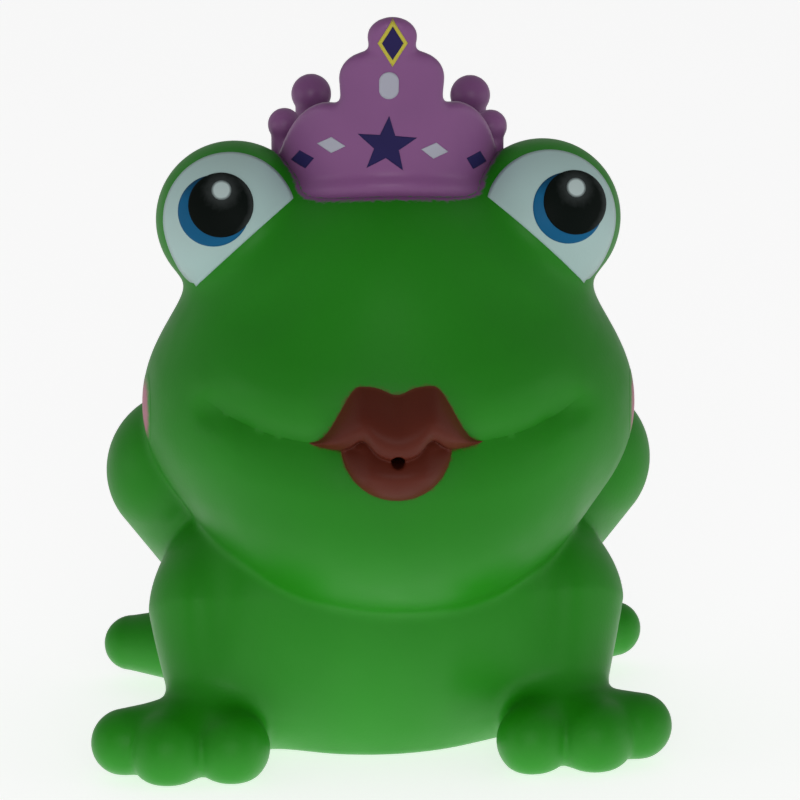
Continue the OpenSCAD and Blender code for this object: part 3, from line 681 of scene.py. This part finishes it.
def paint(name, colour, deep, roughness, masks=(), grain=2600, grain_depth=0.00003, swell=70,
          swell_depth=0.0001, soft=0.0, soft_colour=(1, 1, 1), mottle=42, gloss=0.2):
    """Satin vinyl or paint: two shades in soft mottles, sprayed masks, fine grain and a faint swell.

    Each mask gives its name, its colour, the values where it starts and is full, and its speckle.
    """
    made, nodes, links, shader = new_material(name)
    where = nodes.new("ShaderNodeTexCoord").outputs["Object"]
    mottles = spread(nodes, links, noise(nodes, links, where, mottle), *MOTTLE_ENDS, 0, 1)
    base = blend_colour(nodes, links, mottles, colour, deep)
    for key, tint, low, high, speckle in masks:
        mask = nodes.new("ShaderNodeAttribute")
        mask.attribute_name = key
        specks = noise(nodes, links, where, SPECKLE_SCALE, detail=2)
        fuzz = spread(nodes, links, specks, *NOISE_ENDS, -speckle, speckle)
        add = nodes.new("ShaderNodeMath")
        links.new(mask.outputs["Fac"], add.inputs[0])
        links.new(fuzz, add.inputs[1])
        share = spread(nodes, links, add.outputs["Value"], low, high, 0, 1)
        base = blend_colour(nodes, links, share, base, tint)
    links.new(base, shader.inputs["Base Color"])
    shader.inputs["Specular IOR Level"].default_value = gloss
    patches = noise(nodes, links, where, PATCH_SCALE)
    dull = (roughness - ROUGHNESS_SPREAD, roughness + ROUGHNESS_SPREAD)
    links.new(spread(nodes, links, patches, *NOISE_ENDS, *dull), shader.inputs["Roughness"])
    fine = nodes.new("ShaderNodeBump")
    fine.inputs["Strength"].default_value = BUMP_STRENGTH
    fine.inputs["Distance"].default_value = grain_depth
    links.new(noise(nodes, links, where, grain, detail=2), fine.inputs["Height"])
    broad = nodes.new("ShaderNodeBump")
    broad.inputs["Strength"].default_value = BUMP_STRENGTH
    broad.inputs["Distance"].default_value = swell_depth
    links.new(noise(nodes, links, where, swell, detail=1), broad.inputs["Height"])
    links.new(fine.outputs["Normal"], broad.inputs["Normal"])
    links.new(broad.outputs["Normal"], shader.inputs["Normal"])
    if soft:
        shader.inputs["Subsurface Weight"].default_value = soft
        shader.inputs["Subsurface Radius"].default_value = soft_colour
        shader.inputs["Subsurface Scale"].default_value = SOFT_DEPTH
    return made


VINYL = {"roughness": 0.48, "gloss": 0.26, "soft": 0.08, "soft_colour": (0.2, 1.0, 0.15)}
GREEN = (0.0095, 0.215, 0.0018)
GREEN_DEEP = (0.0088, 0.197, 0.0016)
PURPLE = (0.235, 0.084, 0.235)
PURPLE_DEEP = (0.200, 0.072, 0.205)
RED = (0.108, 0.020, 0.0105)
PINK = (0.42, 0.15, 0.20)
IVORY = (0.42, 0.60, 0.585)
BRASS_TONES = ((0.62, 0.42, 0.13), (0.5, 0.33, 0.1))
BRASS_SCALE = 600
BRASS_ROUGHNESS = (0.25, 0.4)

vinyl = paint("green_vinyl", GREEN, GREEN_DEEP, **VINYL, masks=(
    ("purple", PURPLE_DEEP, 0.25, 0.85, 0.25), ("red", RED, 0.2, 0.9, 0.15)))
# The purple spray's paler colour on sharp bends is a painted edge highlight, partly paint worn thin
crown_spray = paint("purple_spray", PURPLE, PURPLE_DEEP, 0.40, gloss=0.3, masks=(
    ("edge", (0.30, 0.125, 0.29), 0.35, 1.2, 0.1), ("green", GREEN, 0.5, 1.0, 0.3)))
lip_spray = paint("red_spray", RED, (0.085, 0.014, 0.007), 0.45, gloss=0.12, masks=(
    ("thin", (0.13, 0.034, 0.017), 0.2, 1.1, 0.1),))
cheek_spray = paint("pink_spray", GREEN, GREEN_DEEP, **VINYL, masks=(("pink", PINK, 0.15, 0.8, 0.15),))
ivory_print = paint("ivory_print", IVORY, (0.39, 0.53, 0.51), 0.33, swell_depth=0.00006)
blue_print = paint("blue_print", (0.010, 0.135, 0.30), (0.008, 0.10, 0.22), 0.4, gloss=0.06, masks=(
    ("shade", (0.004, 0.045, 0.10), 0.2, 1.0, 0.05),))
# The black print's grey mask colour is a painted sheen, about the glint and along the pupil's right rim
black_print = paint("black_print", (0.0045, 0.0075, 0.0062), (0.004, 0.006, 0.005), 0.45, gloss=0.03, masks=(
    ("pupil_sheen", (0.075, 0.085, 0.085), 0.1, 1.0, 0.04),))
glint_print = paint("glint_print", (0.52, 0.62, 0.61), (0.46, 0.56, 0.55), 0.33, masks=(
    ("rim", (0.12, 0.15, 0.15), 0.35, 1.0, 0.06),))
dark_print = paint("dark_blue_print", (0.024, 0.018, 0.095), (0.018, 0.014, 0.070), 0.4, gloss=0.08)
yellow_print = paint("yellow_print", (0.56, 0.50, 0.055), (0.48, 0.42, 0.045), 0.35)
pale_print = paint("pale_print", (0.42, 0.42, 0.50), (0.36, 0.36, 0.43), 0.35)
squeaker_plastic = paint("squeaker_plastic", (0.72, 0.72, 0.68), (0.66, 0.66, 0.62), 0.45,
                         swell_depth=0.00002)
brass, brass_nodes, brass_links, brass_shader = new_material("reed_brass")
brass_shader.inputs["Metallic"].default_value = 1
brass_where = brass_nodes.new("ShaderNodeTexCoord").outputs["Object"]
brass_tone = noise(brass_nodes, brass_links, brass_where, BRASS_SCALE)
brass_colour = blend_colour(brass_nodes, brass_links, brass_tone, *BRASS_TONES)
brass_links.new(brass_colour, brass_shader.inputs["Base Color"])
brass_dull = spread(brass_nodes, brass_links, brass_tone, *NOISE_ENDS, *BRASS_ROUGHNESS)
brass_links.new(brass_dull, brass_shader.inputs["Roughness"])


# Skin

skin_points, skin_faces = net(skin, *SKIN_BOX, SKIN_PITCH)
skin_points[:, 2] = np.maximum(skin_points[:, 2], 0)
skin_head = to_head(skin_points)
# Points near the smile line are set onto it, and the line is kept sharp
smile_x = np.abs(skin_head[:, 0])
smile_gap = skin_head[:, 2] - smile_z(smile_x)
on_smile = (np.abs(smile_gap) < SKIN_PITCH / 2) & (smile_x > SMILE_INNER[1]) & (smile_x < SMILE_X)
on_smile &= skin_head[:, 1] < MUZZLE_BACK - MUZZLE_SOFT
skin_head[on_smile, 2] -= smile_gap[on_smile]
for _ in range(SMILE_ROUNDS):
    line = from_head(skin_head[on_smile])
    steep = slope(skin, line, SKIN_PITCH / STEPS_PER_PITCH)[:, 1]
    skin_head[on_smile, 1] -= skin(line) / np.minimum(steep, -SMILE_LEAST_SLOPE)
skin_points[on_smile] = from_head(skin_head[on_smile])
near_crown = crown_rounds(skin_head)


def sprayed_red(p, reach=0.5, count=12):
    """Share of a small round about each point that lies on the lips."""
    total = 0
    for turn in np.linspace(0, 2 * math.pi, count, endpoint=False):
        for share in (0.5, 1):
            shift = share * reach * np.array((math.cos(turn), 0, math.sin(turn)))
            total = total + (lip_height(p + shift) > LIP_RIM)
    return total / (2 * count)


# Purple that has strayed onto the skin: about the crown's foot, and in one spot
OVERSPRAY = 1.1
SMUDGE = np.array((-15.6, -6.5, 71.4))
SMUDGE_R = 1.5
SMUDGE_SHARE = 0.75
smudge = SMUDGE_SHARE * bell(length(skin_head - SMUDGE) / SMUDGE_R)
skin_masks = {
    "purple": np.maximum(smooth_step(OVERSPRAY, 0, near_crown), smudge),
    "red": sprayed_red(skin_head),
}
toy_skin = piece("vinyl_skin", skin_points, split_along(skin_faces, on_smile), skin_masks)
edge_ends = np.zeros(2 * len(toy_skin.data.edges), np.int32)
toy_skin.data.edges.foreach_get("vertices", edge_ends)
sharp = on_smile[edge_ends.reshape(-1, 2)].all(1)
toy_skin.data.edges.foreach_set("use_edge_sharp", sharp)
toy_skin.data.materials.append(vinyl)
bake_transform(toy_skin)
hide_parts("body_skin", "head_skin")


def head_piece(made, node, material):
    made.data.materials.append(material)
    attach(made, "head")
    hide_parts(node)


# Crown and lips

# Bends, in 1/mm, between which an edge is painted paler, a painted highlight that partly stands for paint
# worn thin; how far green reaches up; where the red is thin
EDGE_HIGHLIGHT_BENDS = (0.5, 1.6)
BEND_STEP = 0.7
GREEN_REACH = (0.5, -0.2)
THIN_HEIGHTS = (0.6, 0.1)
crown_points, crown_faces = net(crown, *CROWN_BOX, CROWN_PITCH)
crown_points = eased(crown_points, crown_faces, CROWN_EASE)
crown_masks = {
    # Sharp bends get the paler colour: a painted highlight, partly paint worn thin
    "edge": smooth_step(*EDGE_HIGHLIGHT_BENDS, bend(crown_rounds, crown_points, BEND_STEP)),
    "green": smooth_step(*GREEN_REACH, face_rounds(crown_points)),
}
head_piece(piece("sprayed_crown", from_head(crown_points), crown_faces, crown_masks), "crown",
           crown_spray)

lips_points, lips_faces = net(lips, *LIPS_BOX, LIPS_PITCH)
lips_points = eased(lips_points, lips_faces, LIPS_EASE)
lips_masks = {"thin": smooth_step(*THIN_HEIGHTS, lip_height(lips_points))}
head_piece(piece("sprayed_lips", from_head(lips_points), lips_faces, lips_masks), "lips",
           lip_spray)

# Eyes

PAD_UP = np.array((0, math.sin(PAD_TILT), math.cos(PAD_TILT)))
PAD_OUT = np.array((0, -math.cos(PAD_TILT), math.sin(PAD_TILT)))
PAD_RIGHT = np.array((1.0, 0, 0))
WHITE_ARC_COUNT = 80
WHITE_CUT_COUNT = 28
# Shading of the prints, as shares of their radii and of full strength; the halo and pupil rim shares place a
# painted grey sheen on the pupil
IRIS_SHADE_SHARES = (-0.2, 0.8)
IRIS_SHADE_LEAN = 0.3
HALO_R_SHARE = 1.5
HALO_SHARE = 0.8
PUPIL_RIM_FROM_SHARE = 0.72
PUPIL_RIM_ACROSS_SHARES = (0.1, 0.9)
PUPIL_RIM_SHARE = 0.45
GLINT_RIM_FROM_SHARE = 0.6
CHEEK_CORE_SHARE = 0.35


def white_outline(side):
    """Round of the white, cut off straight on its inner lower side."""
    down = math.atan2(-math.cos(side * WHITE_TURN), -math.sin(side * WHITE_TURN))
    half = math.acos(WHITE_CUT / WHITE_R)
    turn = np.linspace(down + half, down + 2 * math.pi - half, WHITE_ARC_COUNT)
    ends = np.array((down + half, down + 2 * math.pi - half))
    outer = ends[0 if side > 0 else 1]
    drawn = 1 + WHITE_CORNER * bell((turn - outer) / WHITE_CORNER_W)
    arc = WHITE_R * drawn[:, None] * np.stack([np.cos(turn), np.sin(turn)], 1)
    t = np.linspace(0, 1, WHITE_CUT_COUNT)[1:-1, None]
    return np.concatenate([arc, arc[-1] + t * (arc[0] - arc[-1])])


def eye(side, word):
    origin = EYE_C * np.array((side, 1, 1))
    places = {}
    places["white"] = EYE_R * np.array((side * WHITE_SHARE[0], WHITE_SHARE[1]))
    places["iris"] = EYE_R * np.array((side * IRIS_SHARE[0], IRIS_SHARE[1]))
    places["pupil"] = places["iris"] + EYE_R * np.array(PUPIL_SHIFT_SHARE)
    places["glint"] = places["pupil"] + EYE_R * np.array(GLINT_SHIFT_SHARE)
    glint_from_pupil = EYE_R * np.array(GLINT_SHIFT_SHARE)

    def shade(flat):
        low, high = IRIS_SHADE_SHARES
        return smooth_step(low * IRIS_R, high * IRIS_R, flat[:, 1] + IRIS_SHADE_LEAN * flat[:, 0])

    # Painted sheen: grey about the glint and along the pupil's right rim
    def pupil_sheen(flat):
        halo = bell(length(flat - glint_from_pupil) / (HALO_R_SHARE * GLINT_R))
        rim = smooth_step(PUPIL_RIM_FROM_SHARE * PUPIL_R, PUPIL_R, length(flat))
        rim = rim * smooth_step(*PUPIL_RIM_ACROSS_SHARES, flat[:, 0] / PUPIL_R)
        return np.maximum(HALO_SHARE * halo, PUPIL_RIM_SHARE * rim)

    def rim(flat):
        return smooth_step(GLINT_RIM_FROM_SHARE * GLINT_R, GLINT_R, length(flat))

    layers = (
        ("white", white_outline(side), ivory_print, "ivory_print", "eye_white", None),
        ("iris", circle(IRIS_R), blue_print, "blue_print", "iris", {"shade": shade}),
        ("pupil", circle(PUPIL_R), black_print, "black_print", "pupil", {"pupil_sheen": pupil_sheen}),
        ("glint", circle(GLINT_R), glint_print, "ivory_print", "glint", {"rim": rim}),
    )
    for level, (part, outline, material, slot, node, masks) in enumerate(layers):
        made = film("printed_%s_%s" % (word, part), outline + places[part], origin, PAD_RIGHT, PAD_UP,
                    PAD_OUT, face_rounds, FILM * (1 + level), rings=20, masks=masks, radius=EYE_R)
        head_piece(made, "%s_%s" % (word, node), material)


eye(-1, "left")
eye(1, "right")

# Cheeks: sprayed spots that fade into the green


def cheek(side, word):
    origin = HEAD_C + np.array((0, CHEEK_SHARE[0], CHEEK_SHARE[1])) * HEAD_HALF
    made = film("sprayed_%s_cheek" % word, circle(CHEEK_R), origin, (0, -side, 0), (0, 0, 1),
                np.array((side, 0, 0)), face_rounds, FILM / 2, rings=16, reach=40, rim_lift=-FILM,
                masks={"pink": lambda flat: smooth_step(CHEEK_R, CHEEK_CORE_SHARE * CHEEK_R, length(flat))})
    head_piece(made, "%s_cheek" % word, cheek_spray)


cheek(-1, "left")
cheek(1, "right")

# Crown's prints

STAR_R = 3.65
STAR_TILT = math.radians(-4)
STAR_WAIST = 0.42
STAR_POINTS = 5
STAR_Z_SHARE = 0.37
STAR_X = -0.6
LOZENGE = (3.5, 5.7)
LOZENGE_RIM = 0.5
LOZENGE_Z_SHARE = 0.88
OVAL = (2.3, 3.3)
OVAL_Z_SHARE = 0.67
OVAL_X = -0.4
OVAL_COUNT = 48
DIAMOND = (3.3, 2)
DIAMOND_X_SHARES = (-0.66, 0.475)
DIAMOND_Z_SHARES = (0.36, 0.335)
DIAMOND_TILTS = (0, math.radians(-10))
BLUE_DIAMOND = (2.75, 2.25)
BLUE_TILTS = (math.radians(17), math.radians(-22))
BLUE_X_SHARES = (-0.97, 0.96)
BLUE_Z_SHARES = (0.265, 0.255)


def diamond(size, x=0, tilt=0):
    w, h = size
    corners = np.array(((w / 2, 0), (0, h / 2), (-w / 2, 0), (0, -h / 2)))
    c, s = math.cos(tilt), math.sin(tilt)
    return sides(corners @ np.array(((c, s), (-s, c))) + np.array((x, 0)))


def oval(size, x=0):
    w, h = size
    ring = circle(w / 2, count=OVAL_COUNT)
    return ring + np.stack([np.full(OVAL_COUNT, x), np.sign(np.round(ring[:, 1], 6)) * (h - w) / 2], 1)


def star():
    step = np.arange(2 * STAR_POINTS)
    turn = math.pi / 2 + STAR_TILT + math.pi * step / STAR_POINTS
    r = np.where(step % 2 == 0, STAR_R, STAR_WAIST * STAR_R)[:, None]
    return sides(r * np.stack([np.cos(turn), np.sin(turn)], 1) + np.array((STAR_X, 0)))


def ornament(name, outline, z_share, level=1):
    foot = CROWN_Z + z_share * CROWN_H
    return film(name, outline, np.array((0, CROWN_Y, foot)), PAD_RIGHT, np.array((0, 0, 1.0)),
                np.array((0, -1.0, 0)), crown_rounds, FILM * level, rings=6, reach=CROWN_WALL * 2,
                start=lambda flat: np.sqrt(ring_radius(foot + flat[:, 1]) ** 2 - flat[:, 0] ** 2))


def joined(first, second, name):
    with bpy.context.temp_override(active_object=first, selected_editable_objects=[first, second]):
        bpy.ops.object.join()
    first.name = name
    return first


lozenge_inner = (LOZENGE[0] - 2 * LOZENGE_RIM, LOZENGE[1] - 2 * LOZENGE_RIM * LOZENGE[1] / LOZENGE[0])
head_piece(ornament("printed_star", star(), STAR_Z_SHARE), "crown_star", dark_print)
head_piece(ornament("printed_lozenge_frame", diamond(LOZENGE), LOZENGE_Z_SHARE), "crown_lozenge_frame",
           yellow_print)
head_piece(ornament("printed_lozenge", diamond(lozenge_inner), LOZENGE_Z_SHARE, level=2), "crown_lozenge",
           dark_print)
head_piece(ornament("printed_oval", oval(OVAL, OVAL_X), OVAL_Z_SHARE), "crown_oval", pale_print)


def diamond_pair(name, size, x_shares, z_shares, tilts):
    """Two diamonds, one at each side of the star, as one object."""
    made = [ornament("%s_%d" % (name, k), diamond(size, x_shares[k] * CROWN_R, tilts[k]), z_shares[k])
            for k in range(2)]
    return joined(*made, name)


whites = diamond_pair("printed_white_diamonds", DIAMOND, DIAMOND_X_SHARES, DIAMOND_Z_SHARES, DIAMOND_TILTS)
head_piece(whites, "crown_white_diamonds", pale_print)
blues = diamond_pair("printed_blue_diamonds", BLUE_DIAMOND, BLUE_X_SHARES, BLUE_Z_SHARES, BLUE_TILTS)
head_piece(blues, "crown_blue_diamonds", dark_print)

# Squeaker keeps its CAD solids

for node in ("squeaker_cup", "reed_block", "reed_wedge", "squeaker_cap"):
    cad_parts[node].data.materials.clear()
    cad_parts[node].data.materials.append(squeaker_plastic)
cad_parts["reed"].data.materials.clear()
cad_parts["reed"].data.materials.append(brass)

# Stage, light and camera

# The floor glows under the toy, in levels from near to far, and has a level of its own where it is seen
FLOOR_GLOW_FAR = 0.5
FLOOR_GLOW_NEAR = 1.35
FLOOR_NEAR_R = 0.03
FLOOR_FAR_R = 0.1
FLOOR_SEEN = 0.7
FLOOR_TONES = ((0.62, 0.62, 0.62), (0.60, 0.60, 0.60))
FLOOR_TONE_SCALE = 8
FLOOR_ROUGHNESS = 0.8
FLOOR_GLOSS = 0.1
FLOOR_HALF = 3.0
floor_material, floor_nodes, floor_links, floor_shader = new_material("pale_floor")
floor_shader.inputs["Roughness"].default_value = FLOOR_ROUGHNESS
floor_shader.inputs["Specular IOR Level"].default_value = FLOOR_GLOSS
floor_where = floor_nodes.new("ShaderNodeTexCoord").outputs["Object"]
floor_tone = noise(floor_nodes, floor_links, floor_where, FLOOR_TONE_SCALE)
floor_colour = blend_colour(floor_nodes, floor_links, floor_tone, *FLOOR_TONES)
floor_links.new(floor_colour, floor_shader.inputs["Base Color"])
# A light table: seen straight, it is dimmed so that it keeps the shadow
seen = floor_nodes.new("ShaderNodeLightPath").outputs["Is Camera Ray"]
floor_shader.inputs["Emission Color"].default_value = (1, 1, 1, 1)
away = floor_nodes.new("ShaderNodeVectorMath")
away.operation = "LENGTH"
floor_links.new(floor_where, away.inputs[0])
glow_level = spread(floor_nodes, floor_links, away.outputs["Value"], FLOOR_NEAR_R, FLOOR_FAR_R,
                    FLOOR_GLOW_NEAR, FLOOR_GLOW_FAR)
strength = floor_nodes.new("ShaderNodeMix")
floor_links.new(seen, strength.inputs["Factor"])
floor_links.new(glow_level, strength.inputs["A"])
strength.inputs["B"].default_value = FLOOR_SEEN
floor_links.new(strength.outputs["Result"], floor_shader.inputs["Emission Strength"])
floor_mesh = bpy.data.meshes.new("studio_floor")
floor_corners = [(x * FLOOR_HALF, y * FLOOR_HALF, 0) for x, y in ((-1, -1), (1, -1), (1, 1), (-1, 1))]
floor_mesh.from_pydata(floor_corners, [], [(0, 1, 2, 3)])
floor = bpy.data.objects.new("studio_floor", floor_mesh)
floor.data.materials.append(floor_material)
bpy.context.scene.collection.objects.link(floor)

# Levels of the sky; the front and back ends are shares, over a stretch of the direction's y
SKY_HORIZON_TO_TOP = (0.5, 0.32)
SKY_FRONT_TO_BACK = (0.7, 1.0)
SKY_STRETCH = (-0.9, 0.2)
SKY_SEEN = 0.93
world = bpy.context.scene.world or bpy.data.worlds.new("studio")
bpy.context.scene.world = world
world.use_nodes = True
sky = world.node_tree.nodes
sky_links = world.node_tree.links
sky.clear()
direction = sky.new("ShaderNodeSeparateXYZ")
sky_links.new(sky.new("ShaderNodeTexCoord").outputs["Generated"], direction.inputs["Vector"])
height = spread(sky, sky_links, direction.outputs["Z"], 0, 1, *SKY_HORIZON_TO_TOP)
depth = spread(sky, sky_links, direction.outputs["Y"], *SKY_STRETCH, *SKY_FRONT_TO_BACK)
level = sky.new("ShaderNodeMath")
level.operation = "MULTIPLY"
sky_links.new(height, level.inputs[0])
sky_links.new(depth, level.inputs[1])
ambient = sky.new("ShaderNodeBackground")
sky_level = sky.new("ShaderNodeMix")
sky_links.new(sky.new("ShaderNodeLightPath").outputs["Is Camera Ray"], sky_level.inputs["Factor"])
sky_links.new(level.outputs["Value"], sky_level.inputs["A"])
sky_level.inputs["B"].default_value = SKY_SEEN
sky_links.new(sky_level.outputs["Result"], ambient.inputs["Strength"])
ambient.inputs["Color"].default_value = (1, 1, 1, 1)
sky_out = sky.new("ShaderNodeOutputWorld")
sky_links.new(ambient.outputs["Background"], sky_out.inputs["Surface"])


# Place, aim and size in metres, and power in watts, of each softbox
SOFTBOXES = (
    ("front_softbox", (0.0, -0.95, 0.32), (0, 0, 0.05), (0.6, 0.4), 2.15),
    ("left_softbox", (-0.9, -0.25, 0.16), (0, 0, 0.04), (0.7, 0.3), 0.6),
    ("right_softbox", (0.9, -0.25, 0.16), (0, 0, 0.04), (0.7, 0.3), 0.6),
)


def softbox(name, place, aim, size, power):
    lamp = bpy.data.lights.new(name, "AREA")
    lamp.shape = "RECTANGLE"
    lamp.size, lamp.size_y = size
    lamp.energy = power
    made = bpy.data.objects.new(name, lamp)
    made.location = place
    made.rotation_mode = "QUATERNION"
    made.rotation_quaternion = (Vector(aim) - Vector(place)).to_track_quat("-Z", "Y")
    bpy.context.scene.collection.objects.link(made)


for sizes in SOFTBOXES:
    softbox(*sizes)

CAMERA_AIM = Vector((2.37, 1.7, 41.4)) * MM
CAMERA_AZIMUTH = math.radians(-1.2)
CAMERA_RISE = math.radians(13.6)
CAMERA_DISTANCE = 0.56
FIELD_W = 0.0973
SENSOR = 36
camera_data = bpy.data.cameras.new("camera")
camera_data.sensor_width = SENSOR
camera_data.lens = SENSOR * CAMERA_DISTANCE / FIELD_W
camera = bpy.data.objects.new("camera", camera_data)
flat_share = math.cos(CAMERA_RISE)
back = Vector((math.sin(CAMERA_AZIMUTH) * flat_share, -math.cos(CAMERA_AZIMUTH) * flat_share,
               math.sin(CAMERA_RISE)))
camera.location = CAMERA_AIM + CAMERA_DISTANCE * back
camera.rotation_mode = "QUATERNION"
camera.rotation_quaternion = (-back).to_track_quat("-Z", "Y")
bpy.context.scene.collection.objects.link(camera)
bpy.context.scene.camera = camera
bpy.context.scene.view_settings.view_transform = "Standard"
